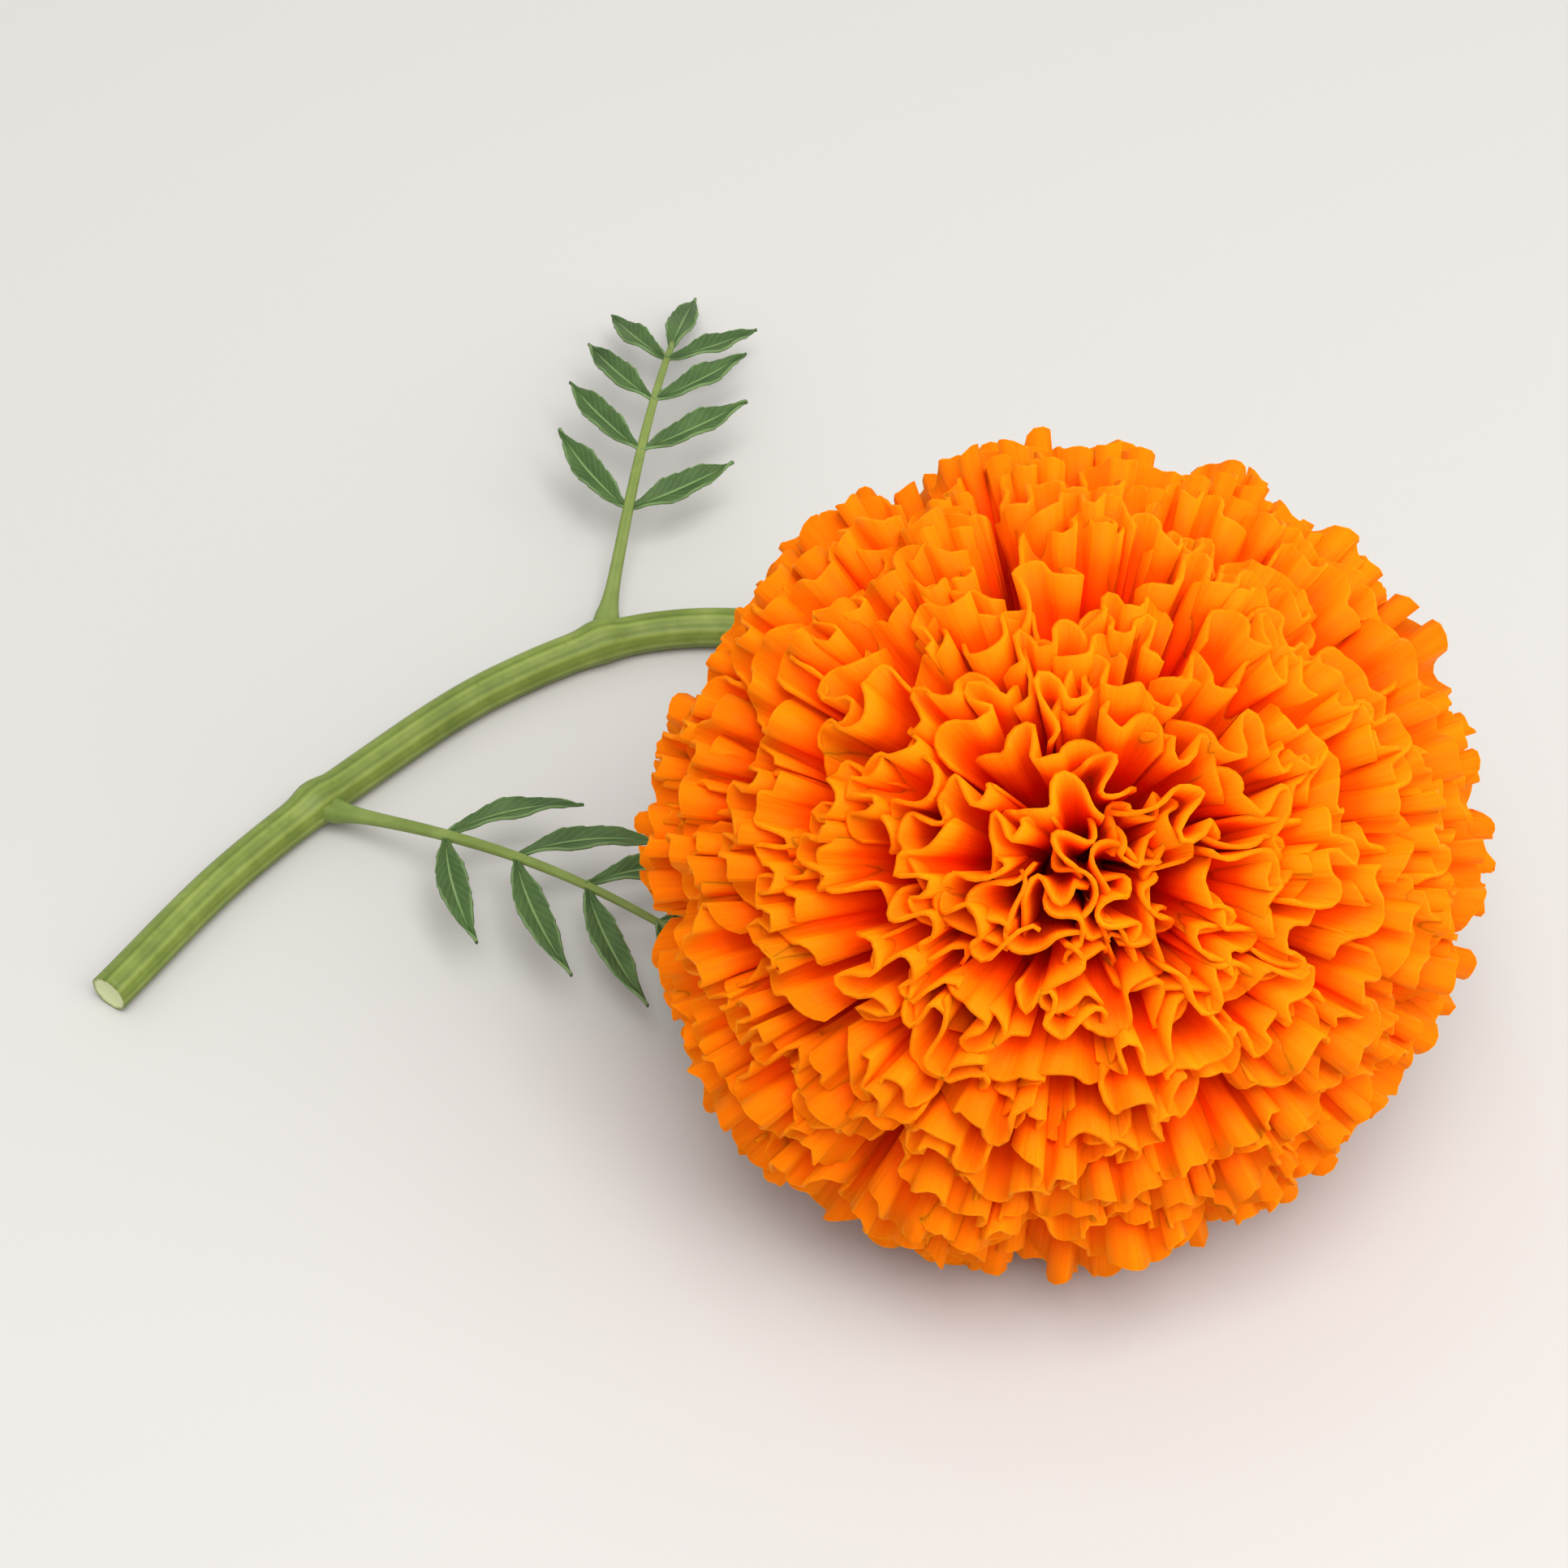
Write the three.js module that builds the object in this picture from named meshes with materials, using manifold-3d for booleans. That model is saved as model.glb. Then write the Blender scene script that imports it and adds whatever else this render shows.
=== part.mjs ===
// One cut marigold flower laid on a flat surface: a ruffled pompon bloom that rests on its lowest petals,
// the ribbed green calyx that holds it, a curved stem lying on the surface and two feathery leaves.
// Millimetres, +Z up. The origin is on the surface, under the middle of the whole flower.
import * as THREE from "three";
import { mergeVertices } from "three/addons/utils/BufferGeometryUtils.js";
import Module from "manifold-3d";

const wasm = await Module();
wasm.setup();

// The bloom: its petal tips lie on a flattened ball, wide at the shoulder, round the head's own axis.
const SHOULDER_RADIUS = 42.5;
const CROWN_HEIGHT = 35;
const SKIRT_DEPTH = 27;
const SHOULDER_LIFT = 7;
const PETAL_COUNT = 122;
const GOLDEN_ANGLE = 137.508;

// Angles from the head's axis: the lowest petals, and the first of those that show down to their roots.
const LAST_PETAL_ANGLE = 128;
const UNDERSIDE_ANGLE = 103;

// A petal of the heart and one of the outer rows, which begin at this angle: half width at the tip, depth of
// the folds, twist either way, and the share of the middle line below which the petal is inside the core.
const HEART_PETAL = { halfWidth: 4.6, fold: 1.5, twist: 45, start: 0.68 };
const OUTER_PETAL = { halfWidth: 7.6, fold: 1.1, twist: 12, start: 0.58 };
const OUTER_ANGLE = 70;
const PETAL_THICKNESS = 0.7;
const ROOT_HALF_WIDTH = 1.4;
const PETAL_CUP = 1.2;
const TIP_ROUNDING = 2.2;
const TIP_NOTCH = 0.8;

// How sharply a petal widens, and how sharply its folds deepen, towards the tip.
const WIDENING_POWER = 1.3;
const FOLD_POWER = 1.4;

// How far each petal strays either way: its two angles in degrees, its reach and its width as shares.
const STRAY = { polar: 2, azimuth: 5, reach: 0.025, width: 0.1 };

// The short neck that the petals grow from. It sits in the calyx. Petals nearer the axis have higher roots,
// by this much for each degree and up to the height of the layers. Those inside the rim angle root further in.
const NECK_RADIUS = 7.4;
const ROOT_RADIUS = 6;
const ROOT_HEIGHT = 4;
const ROOT_LAYERS = 5;
const LAYER_PER_DEGREE = 0.16;
const ROOT_RIM_ANGLE = 100;

// How the head lies: its face looks up by this much, and a little to the right.
const FACE_ELEVATION = 45;
const FACE_TURN = 8;
const PETALS_PRESSED = 2.4;

// The calyx and the stem.
const CALYX_LENGTH = 21;
const CALYX_RADIUS = 8.9;
const CALYX_FOOT_RADIUS = 4.6;
const CALYX_TEETH = 8;
const STEM_RADIUS = 2.3;
const STEM_SIDES = 10;
const SWOLLEN_SHARE = 0.26;
const SWELL_POWER = 1.6;
const SEAT_GAP = 0.3;
const SLIVER = 0.03;

// The leaves: four pairs of leaflets and one at the tip. A tooth of a leaflet rises from its outline, then
// cuts into it after this share of the leaflet's length.
const LEAF_THICKNESS = 0.7;
const LEAF_ARCH = 7;
const LEAF_DROOP = 0.012;
const LEAF_TIP_DROP = 2;
const LEAFLET_PAIRS = 4;
const LEAFLET_WIDTH = 3.8;
const LEAFLET_TEETH = 3;
const TOOTH = { rise: 0.25, cut: 0.2, length: 0.05 };
const RIB_HALF = 0.8;

// Shares of the leaf's length: where the first and the last pair and the end leaflet join the rib, how long
// the longest pair and the end leaflet are, and where the arch would come down again.
const FIRST_PAIR = 0.26;
const LAST_PAIR = 0.74;
const END_JOINT = 0.78;
const LONGEST_PAIR = 0.31;
const END_LEAFLET = 0.3;
const ARCH_SPAN = 1.12;

const rad = THREE.MathUtils.degToRad;
const vec = (x, y, z) => new THREE.Vector3(x, y, z);

// A repeatable stream of numbers from 0 to 1.
function randomStream(seed) {
  let state = seed;
  return () => {
    state = (state + 0x6d2b79f5) | 0;
    let t = Math.imul(state ^ (state >>> 15), 1 | state);
    t = (t + Math.imul(t ^ (t >>> 7), 61 | t)) ^ t;
    return ((t ^ (t >>> 14)) >>> 0) / 4294967296;
  };
}

// ---- Closed meshes and solids ----

function indexedGeometry(points, triangles) {
  const geometry = new THREE.BufferGeometry().setFromPoints(points);
  geometry.setIndex(triangles);
  return geometry;
}

function solidFrom(geometry) {
  const bare = geometry.clone();
  bare.deleteAttribute("normal");
  bare.deleteAttribute("uv");
  const merged = mergeVertices(bare, 1e-4);
  return new wasm.Manifold(
    new wasm.Mesh({
      numProp: 3,
      vertProperties: new Float32Array(merged.attributes.position.array),
      triVerts: new Uint32Array(merged.index.array),
    }),
  );
}

// The outer skin of a solid, without slivers, loose scraps and sealed hollows, as a geometry.
function geometryFrom(solid) {
  const bodies = solid.simplify(SLIVER).decompose();
  const mesh = bodies.reduce((a, b) => (b.volume() > a.volume() ? b : a)).getMesh();
  const geometry = new THREE.BufferGeometry();
  geometry.setAttribute("position", new THREE.BufferAttribute(mesh.vertProperties, 3));
  geometry.setIndex(new THREE.BufferAttribute(mesh.triVerts, 1));
  return geometry;
}

// A skin over rings of equally many points, closed by a fan at each end.
function loft(rings) {
  const sides = rings[0].length;
  const middle = (ring) => ring.reduce((sum, p) => sum.add(p), vec(0, 0, 0)).divideScalar(sides);
  const points = [...rings.flat(), middle(rings[0]), middle(rings.at(-1))];
  const first = points.length - 2;
  const last = points.length - 1;
  const triangles = [];
  for (let k = 0; k < sides; k++) {
    const next = (k + 1) % sides;
    for (let i = 0; i + 1 < rings.length; i++) {
      const a = i * sides;
      const b = a + sides;
      triangles.push(a + k, a + next, b + next, a + k, b + next, b + k);
    }
    const top = (rings.length - 1) * sides;
    triangles.push(first, next, k, last, top + k, top + next);
  }
  return indexedGeometry(points, triangles);
}

// A thin closed blade from a grid of middle points and normals. Both faces are split along equal diagonals.
function blade(grid, thickness) {
  const rows = grid.length;
  const columns = grid[0].length;
  const faces = [0.5, -0.5].map((side) =>
    grid.flat().map(({ point, normal }) => point.clone().addScaledVector(normal, side * thickness)),
  );
  const count = rows * columns;
  const at = (i, j) => i * columns + j;
  const triangles = [];
  for (let i = 0; i + 1 < rows; i++)
    for (let j = 0; j + 1 < columns; j++) {
      const [a, b, c, d] = [at(i, j), at(i, j + 1), at(i + 1, j + 1), at(i + 1, j)];
      const quads = (i + j) % 2 ? [[a, b, c], [a, c, d]] : [[a, b, d], [b, c, d]];
      for (const [p, q, r] of quads)
        triangles.push(p, r, q, p + count, q + count, r + count);
    }
  const edge = [];
  for (let j = 0; j < columns; j++) edge.push(at(0, j));
  for (let i = 1; i < rows; i++) edge.push(at(i, columns - 1));
  for (let j = columns - 2; j >= 0; j--) edge.push(at(rows - 1, j));
  for (let i = rows - 2; i > 0; i--) edge.push(at(i, 0));
  edge.forEach((p, k) => {
    const q = edge[(k + 1) % edge.length];
    triangles.push(p, q + count, p + count, p, q, q + count);
  });
  return indexedGeometry(faces.flat(), triangles);
}

// ---- The bloom, in the head's own frame: +Z is the axis, and the calyx rim is at z = 0 ----

// A point of the flattened ball that the petal tips reach, at an angle from the axis: [distance out, height]
function tipEnvelope(polar) {
  const depth = polar < 90 ? CROWN_HEIGHT : SKIRT_DEPTH;
  const [s, c] = [Math.sin(rad(polar)), Math.cos(rad(polar))];
  const reach = 1 / Math.hypot(s / SHOULDER_RADIUS, c / depth);
  return [reach * s, SHOULDER_LIFT + reach * c];
}

// A petal's middle line: it leaves the neck leaning out, and its tip leans further out than it stands.
// The lowest petals have the lowest roots.
function petalLine(polar, reach) {
  const [out, height] = tipEnvelope(polar);
  const layer = Math.min(LAYER_PER_DEGREE * (LAST_PETAL_ANGLE - polar), ROOT_LAYERS);
  const root = new THREE.Vector2(ROOT_RADIUS * Math.min(1, polar / ROOT_RIM_ANGLE), ROOT_HEIGHT + layer);
  const tip = root.clone().lerp(new THREE.Vector2(out, height), reach);
  const rootLean = 0.6 * polar;
  const tipLean = Math.min(1.16 * polar + 6, 156);
  const handleShare = 0.4;
  const handle = handleShare * root.distanceTo(tip);
  const heading = (lean) => new THREE.Vector2(Math.sin(rad(lean)), Math.cos(rad(lean)));
  const rise = root.clone().addScaledVector(heading(rootLean), handle);
  const bend = tip.clone().addScaledVector(heading(tipLean), -handle);
  return new THREE.CubicBezierCurve(root, rise, bend, tip);
}

// One floret's petal: a fan that widens from the core, folded along its length and frilled at its tip.
// The petals are spread evenly over the ball by the golden angle. Those that stand on the core begin inside.
function petal(index, random) {
  const either = (amount) => amount * (2 * random() - 1);
  const share = (index + 0.5) / PETAL_COUNT;
  const spread = 1 - Math.cos(rad(LAST_PETAL_ANGLE));
  const even = THREE.MathUtils.radToDeg(Math.acos(1 - spread * share));
  const polar = THREE.MathUtils.clamp(even + either(STRAY.polar), STRAY.polar, LAST_PETAL_ANGLE);
  const azimuth = rad(index * GOLDEN_ANGLE + either(STRAY.azimuth));
  const line = petalLine(polar, 1 + either(STRAY.reach));
  const outward = vec(Math.cos(azimuth), Math.sin(azimuth), 0);
  const sideways = vec(-Math.sin(azimuth), Math.cos(azimuth), 0);
  const fromCentre = Math.min(1, polar / OUTER_ANGLE);
  const between = (trait) => THREE.MathUtils.lerp(HEART_PETAL[trait], OUTER_PETAL[trait], fromCentre);
  const tipHalfWidth = between("halfWidth") * (1 + either(STRAY.width));
  const twist = rad(either(between("twist")));
  const fold = Math.sign(either(1)) * between("fold");
  const underside = polar > UNDERSIDE_ANGLE;
  const start = underside ? 0 : between("start");
  const steps = underside ? 3 : 2;
  const columns = [-1, -0.5, 0, 0.5, 1];
  const grid = [];
  for (let i = 0; i <= steps; i++) {
    const along = i / steps;
    const s = start + (1 - start) * along;
    const flat = line.getPoint(s);
    const heading = line.getTangent(s);
    const middle = outward.clone().multiplyScalar(flat.x).setZ(flat.y);
    const tangent = outward.clone().multiplyScalar(heading.x).setZ(heading.y);
    const turned = sideways.clone().applyAxisAngle(tangent, twist);
    const normal = tangent.clone().cross(turned).normalize();
    const halfWidth = THREE.MathUtils.lerp(ROOT_HALF_WIDTH, tipHalfWidth, s ** WIDENING_POWER);
    grid.push(
      columns.map((v, k) => {
        const wave = fold * along ** FOLD_POWER * (k % 2 ? 1 : -1) + PETAL_CUP * (1 - v * v) * along;
        const trim = along * (TIP_ROUNDING * v * v + (k % 2 ? 0 : TIP_NOTCH));
        const point = middle
          .clone()
          .addScaledVector(turned, v * halfWidth)
          .addScaledVector(normal, wave)
          .addScaledVector(tangent, -trim);
        return { point, normal };
      }),
    );
  }
  return blade(grid, PETAL_THICKNESS);
}

// The packed lower halves of the florets: a dome on the short neck that sits in the calyx.
function core() {
  const sides = 20;
  const profile = [
    [0, SEAT_GAP],
    [NECK_RADIUS, SEAT_GAP],
    [NECK_RADIUS, 6],
    [13, 9],
    [24, 10.5],
    [31, 15],
    [30, 22],
    [23, 28.5],
    [13, 32.5],
    [0, 34],
  ];
  return new THREE.LatheGeometry(
    profile.map((p) => new THREE.Vector2(...p)),
    sides,
  ).rotateX(Math.PI / 2);
}

// How high the calyx rim stands when the lowest petals are pressed against the surface.
function rimHeight() {
  const [s, c] = [Math.sin(rad(FACE_ELEVATION)), Math.cos(rad(FACE_ELEVATION))];
  let lowest = 0;
  for (let polar = 60; polar <= LAST_PETAL_ANGLE; polar++) {
    const [out, height] = tipEnvelope(polar);
    lowest = Math.min(lowest, height * s - out * c);
  }
  return -lowest - PETALS_PRESSED;
}

const head = new THREE.Group();
head.position.set(0, 0, rimHeight());
head.rotation.set(rad(90 - FACE_ELEVATION), 0, rad(FACE_TURN), "ZYX");
head.updateMatrixWorld(true);

// The surface, as a thick slab in the head's frame, which presses the lowest petals flat.
function surfaceSlab() {
  const width = 5 * SHOULDER_RADIUS;
  const slab = new THREE.BoxGeometry(width, width, SKIRT_DEPTH).translate(0, 0, -SKIRT_DEPTH / 2);
  return slab.applyMatrix4(head.matrixWorld.clone().invert());
}

function bloom() {
  const seed = 7;
  const random = randomStream(seed);
  let solid = solidFrom(core());
  for (let index = 0; index < PETAL_COUNT; index++) solid = solid.add(solidFrom(petal(index, random)));
  return geometryFrom(solid.subtract(solidFrom(surfaceSlab())));
}

// ---- The calyx, in the head's frame: a ribbed cup of joined bracts with a toothed rim ----

function calyx() {
  const sides = CALYX_TEETH * 4;
  const ring = (radius, height, rib, tooth) =>
    Array.from({ length: sides }, (_, k) => {
      const turn = (2 * Math.PI * k) / sides;
      const ridge = Math.cos(CALYX_TEETH * turn);
      const r = radius + rib * ridge;
      return vec(r * Math.cos(turn), r * Math.sin(turn), height + tooth * Math.max(0, ridge));
    });
  return loft([
    ring(CALYX_FOOT_RADIUS, -CALYX_LENGTH, 0, 0),
    ring(CALYX_FOOT_RADIUS + 1.2, -CALYX_LENGTH + 2.5, 0.1, 0),
    ring(CALYX_RADIUS - 1, -13, 0.35, 0),
    ring(CALYX_RADIUS, -7, 0.4, 0),
    ring(CALYX_RADIUS - 0.2, -1, 0.3, 0),
    ring(CALYX_RADIUS, 0.1, 0.2, 2.4),
    ring(NECK_RADIUS + SEAT_GAP, 0.1, 0, 2),
    ring(NECK_RADIUS + SEAT_GAP, 0, 0, 0),
  ]);
}

// ---- The stem: it leaves the calyx along the head's axis, bends to the surface and curves to the left ----

const stemTop = head.localToWorld(vec(0, 0, -CALYX_LENGTH - SEAT_GAP));
const stemSwell = head.localToWorld(vec(0, 0, -CALYX_LENGTH - 8));
const stemLine = new THREE.CatmullRomCurve3(
  [
    stemTop,
    stemSwell,
    vec(-10, 41, 3.6),
    vec(-25, 53, STEM_RADIUS),
    vec(-43, 54, STEM_RADIUS),
    vec(-60, 46, STEM_RADIUS),
    vec(-75, 33, STEM_RADIUS),
    vec(-89, 18, STEM_RADIUS),
    vec(-101, 1, STEM_RADIUS),
  ],
  false,
  "centripetal",
);

// The stem's first quarter is swollen: it widens towards the calyx, to nearly the width of the calyx foot.
function stemRadius(share) {
  const step = 0.1;
  const swell = CALYX_FOOT_RADIUS - STEM_RADIUS - step;
  return STEM_RADIUS + swell * Math.max(0, 1 - share / SWOLLEN_SHARE) ** SWELL_POWER;
}

function stem() {
  const steps = 30;
  const rings = [];
  for (let i = 0; i <= steps; i++) {
    const share = i / steps;
    const middle = stemLine.getPointAt(share);
    middle.setZ(Math.max(middle.z, stemRadius(share)));
    const heading = stemLine.getTangentAt(share);
    const across = vec(0, 0, 1).cross(heading).normalize();
    const up = heading.clone().cross(across);
    const corner = stemRadius(share) / Math.cos(Math.PI / STEM_SIDES);
    rings.push(
      Array.from({ length: STEM_SIDES }, (_, k) => {
        const turn = (2 * Math.PI * (k + 0.5)) / STEM_SIDES - Math.PI / 2;
        return middle
          .clone()
          .addScaledVector(across, corner * Math.cos(turn))
          .addScaledVector(up, corner * Math.sin(turn));
      }),
    );
  }
  return loft(rings);
}

// ---- A leaf, in its own frame: it leaves the stem at the origin and grows along +X ----

// The edge of one leaflet from its near joint round its tip to its far joint. It is lance-shaped, a power of
// the sine of the share of its length, with a few saw teeth.
function leafletEdge(joint, angle, length) {
  const along = new THREE.Vector2(Math.cos(angle), Math.sin(angle));
  const across = new THREE.Vector2(along.y, -along.x);
  const place = (u, v) => joint.clone().addScaledVector(along, u * length).addScaledVector(across, v);
  const half = (u) => 0.5 * LEAFLET_WIDTH * Math.sin(Math.PI * u ** 0.95) ** 0.9;
  const stalkShare = 0.05;
  const stalkHalf = 0.6;
  const side = [];
  for (let k = 1; k <= LEAFLET_TEETH; k++) {
    const peak = k / (LEAFLET_TEETH + 1);
    const notch = peak + TOOTH.length;
    side.push([peak, half(peak) + TOOTH.rise], [notch, half(notch) - TOOTH.cut]);
  }
  const near = side.map(([u, v]) => place(u, -v));
  const far = side.map(([u, v]) => place(u, v)).reverse();
  return [place(stalkShare, -stalkHalf), ...near, place(1, 0), ...far, place(stalkShare, stalkHalf)];
}

// The whole leaf is cut from one thin blade, which arches up along the rib, droops to its sides and comes
// down at its tip to the surface.
function leaf(length) {
  const firstJoint = FIRST_PAIR * length;
  const lastJoint = LAST_PAIR * length;
  const leftSide = [new THREE.Vector2(0, RIB_HALF)];
  for (let k = 0; k < LEAFLET_PAIRS; k++) {
    const share = k / (LEAFLET_PAIRS - 1);
    const joint = new THREE.Vector2(THREE.MathUtils.lerp(firstJoint, lastJoint, share), 0.8 * RIB_HALF);
    const size = length * (LONGEST_PAIR - 0.07 * Math.abs(share - 0.4));
    const lean = rad(58 - 8 * share);
    leftSide.push(...leafletEdge(joint, lean, size));
  }
  const rightSide = leftSide.map((p) => new THREE.Vector2(p.x, -p.y)).reverse();
  const end = leafletEdge(new THREE.Vector2(END_JOINT * length, 0), 0, END_LEAFLET * length);
  const outline = new THREE.Shape([...leftSide, ...end, ...rightSide]);
  const flat = new THREE.ExtrudeGeometry(outline, { depth: LEAF_THICKNESS, bevelEnabled: false });
  const position = flat.getAttribute("position");
  for (let k = 0; k < position.count; k++) {
    const [x, y, z] = [position.getX(k), position.getY(k), position.getZ(k)];
    const arch = LEAF_ARCH * Math.sin((Math.PI * x) / (ARCH_SPAN * length)) - LEAF_TIP_DROP * (x / length);
    position.setZ(k, z + arch - LEAF_DROOP * y * y);
  }
  return flat;
}

// ---- The flower ----

function paint(name, geometry, colour, roughness) {
  const material = new THREE.MeshStandardMaterial({ color: colour, roughness, metalness: 0 });
  const mesh = new THREE.Mesh(geometry, material);
  mesh.name = name;
  return mesh;
}

const PETAL_ORANGE = 0xff8200;
const CALYX_GREEN = 0x7f9a35;
const STEM_GREEN = 0x6f8f3e;
const LEAF_GREEN = 0x4a6b3a;

const flower = new THREE.Group();
head.add(paint("bloom", bloom(), PETAL_ORANGE, 0.6));
head.add(paint("calyx", calyx(), CALYX_GREEN, 0.5));
flower.add(head);
flower.add(paint("stem", stem(), STEM_GREEN, 0.5));

// Each leaf grows from a point of the stem, at an angle off the way to the bloom. The nearer corner of its
// square root lies beside the stem.
for (const { name, share, turn, length } of [
  { name: "upper_leaf", share: 0.5, turn: 58, length: 52 },
  { name: "lower_leaf", share: 0.77, turn: -74, length: 56 },
]) {
  const grown = paint(name, leaf(length), LEAF_GREEN, 0.6);
  const joint = stemLine.getPointAt(share);
  const heading = stemLine.getTangentAt(share);
  const angle = Math.atan2(-heading.y, -heading.x) + rad(turn);
  const slant = Math.abs(rad(turn));
  const reach = (stemRadius(share) + SEAT_GAP + RIB_HALF * Math.cos(slant)) / Math.sin(slant);
  grown.position.set(joint.x + reach * Math.cos(angle), joint.y + reach * Math.sin(angle), STEM_RADIUS);
  grown.rotation.z = angle;
  flower.add(grown);
}

// The origin goes under the middle of the whole flower.
const bounds = new THREE.Box3().setFromObject(flower, true);
const centre = bounds.getCenter(vec(0, 0, 0));
flower.position.set(-centre.x, -centre.y, 0);

export default flower;
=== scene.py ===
"""A cut marigold flower lying down: ruffled orange bloom, ribbed green calyx, curved stem, two leaves."""

import math

import bpy
import numpy as np
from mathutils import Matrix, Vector


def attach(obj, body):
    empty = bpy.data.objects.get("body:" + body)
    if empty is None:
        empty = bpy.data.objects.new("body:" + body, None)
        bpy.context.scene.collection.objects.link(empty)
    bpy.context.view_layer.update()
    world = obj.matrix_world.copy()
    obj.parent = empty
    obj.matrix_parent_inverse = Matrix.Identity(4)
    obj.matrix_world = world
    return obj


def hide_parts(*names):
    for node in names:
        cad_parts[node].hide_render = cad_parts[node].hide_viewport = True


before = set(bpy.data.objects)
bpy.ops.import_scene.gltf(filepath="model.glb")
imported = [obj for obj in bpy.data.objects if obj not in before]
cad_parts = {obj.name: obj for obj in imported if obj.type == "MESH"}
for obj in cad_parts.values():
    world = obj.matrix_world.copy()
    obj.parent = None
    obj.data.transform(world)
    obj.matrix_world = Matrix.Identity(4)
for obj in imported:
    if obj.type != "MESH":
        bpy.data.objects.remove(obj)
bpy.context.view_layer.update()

# ---- The camera ----
# It looks down on the flower at 50 degrees. The flower's face leans back by 45 degrees, so the bloom is
# seen nearly face-on.
MM = 0.001
VIEW_ELEVATION = math.radians(50)
VIEW_WIDTH = 172 * MM
LENS = 100.0
SENSOR = 36.0
LOOK_AT = Vector((0.002, -0.0125, 0.014))

camera_data = bpy.data.cameras.new("camera")
camera_data.lens = LENS
camera_data.sensor_width = SENSOR
camera = bpy.data.objects.new("camera", camera_data)
distance = VIEW_WIDTH * LENS / SENSOR
toward_camera = Vector((0, -math.cos(VIEW_ELEVATION), math.sin(VIEW_ELEVATION)))
camera.location = LOOK_AT + distance * toward_camera
camera.rotation_euler = toward_camera.to_track_quat("Z", "Y").to_euler()
bpy.context.scene.collection.objects.link(camera)
bpy.context.scene.camera = camera

# ---- The stem ----
# The fleshy green stalk of the picked flower, finely ridged along its length. It swells into the calyx at
# its upper end, has a slight knot where each leaf grows out, and ends in a clean cut with pale pith.
STEM_ROUTE = np.array([
    (27.433, -18.586, 13.193), (26.675, -13.194, 7.748), (19.53, 7.5, 3.6),
    (4.53, 19.5, 2.3), (-13.47, 20.5, 2.3), (-30.47, 12.5, 2.3),
    (-45.47, -0.5, 2.3), (-59.47, -15.5, 2.3), (-71.47, -32.5, 2.3),
]) * MM
STEPS_PER_STRETCH = 60
STEM_RINGS = 181
STEM_COLUMNS = 72
STEM_RADIUS = 2.3 * MM
STEM_SWELLING = 2.2 * MM
SWELLING_SHARE = 0.26
SWELLING_POWER = 1.6
STEM_RIDGES = 9
COARSE_RIDGE = 0.28
FINE_RIDGE = 0.22
RIDGE_DRIFT = 0.5
DRIFT_SPEED = 5
FURROW_DEPTH = 0.12 * MM
STEM_CLEARANCE = 0.1 * MM
# Where the leaves grow out, as shares of the stem's length from the calyx, and the knots there.
UPPER_LEAF_SHARE = 0.5
LOWER_LEAF_SHARE = 0.77
KNOT_HEIGHT = 0.35 * MM
KNOT_LENGTH = 0.012
# The rings that close the two ends: share of the stem's own ring, and millimetres beyond the path's end.
SHOULDER_PROFILE = [(0.6, 0.9), (0.88, 0.75), (0.97, 0.4)]
CUT_PROFILE = [(0.93, 0.0), (0.8, -0.1), (0.5, -0.2), (0.15, -0.3)]
CUT_PALENESS = [0.3, 1, 1, 1]
PITH_COLOUR = (0.62, 0.66, 0.36, 1)
# These greens are kept about a sixth darker than the stem's own green: painted shade over the whole stem.
STEM_COLOURS = [
    (0.0, (0.075, 0.116, 0.017, 1)),
    (0.45, (0.15, 0.21, 0.033, 1)),
    (1.0, (0.28, 0.345, 0.08, 1)),
]


def smooth_path(points, count):
    """Evenly spaced points on a smooth curve through the given ones. Each stretch is a cubic, and its end
    slopes come from the neighbours, weighted by the square root of the distances."""
    spans = np.sqrt(np.linalg.norm(np.diff(points, axis=0), axis=1))[:, None]
    steps = np.diff(points, axis=0) / spans
    inner = steps[:-1] - (points[2:] - points[:-2]) / (spans[:-1] + spans[1:]) + steps[1:]
    slopes = np.concatenate([steps[:1], inner, steps[-1:]])
    t = np.linspace(0, 1, STEPS_PER_STRETCH, endpoint=False)[None, :, None]
    starts, ends = points[:-1, None], points[1:, None]
    leave, arrive = (slopes[:-1] * spans)[:, None], (slopes[1:] * spans)[:, None]
    curve = (2 * t**3 - 3 * t**2 + 1) * starts + (t**3 - 2 * t**2 + t) * leave
    curve = curve + (3 * t**2 - 2 * t**3) * ends + (t**3 - t**2) * arrive
    curve = np.concatenate([curve.reshape(-1, points.shape[1]), points[-1:]])
    length = np.concatenate([[0], np.cumsum(np.linalg.norm(np.diff(curve, axis=0), axis=1))])
    wanted = np.linspace(0, length[-1], count)
    return np.stack([np.interp(wanted, length, column) for column in curve.T], axis=1)


def once_round(columns):
    """The angles of a ring's points: evenly spaced, once round, without coming back to the first."""
    return np.linspace(0, 2 * math.pi, columns, endpoint=False)


def tube_points(path, radii):
    """Rings round a path. Each ring lies square to the path. The radii have one row for each path point
    and one column for each direction, counted from sideways up over the top."""
    forward = np.gradient(path, axis=0)
    forward /= np.linalg.norm(forward, axis=1, keepdims=True)
    sideways = np.cross([0.0, 0.0, 1.0], forward)
    sideways /= np.linalg.norm(sideways, axis=1, keepdims=True)
    upward = np.cross(forward, sideways)
    turn = once_round(radii.shape[1])[None, :, None]
    spoke = np.cos(turn) * sideways[:, None, :] + np.sin(turn) * upward[:, None, :]
    return path[:, None, :] + radii[..., None] * spoke


def end_rings(end, before, ring, profile):
    """Rings that close a tube's end. Each is the tube's last ring, shrunk about the end of the path to the
    profile's share of its size, and moved on along the path by the profile's millimetres."""
    onward = end - before
    onward /= np.linalg.norm(onward)
    return [end + size * (ring - end) + beyond * MM * onward for size, beyond in profile]


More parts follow.
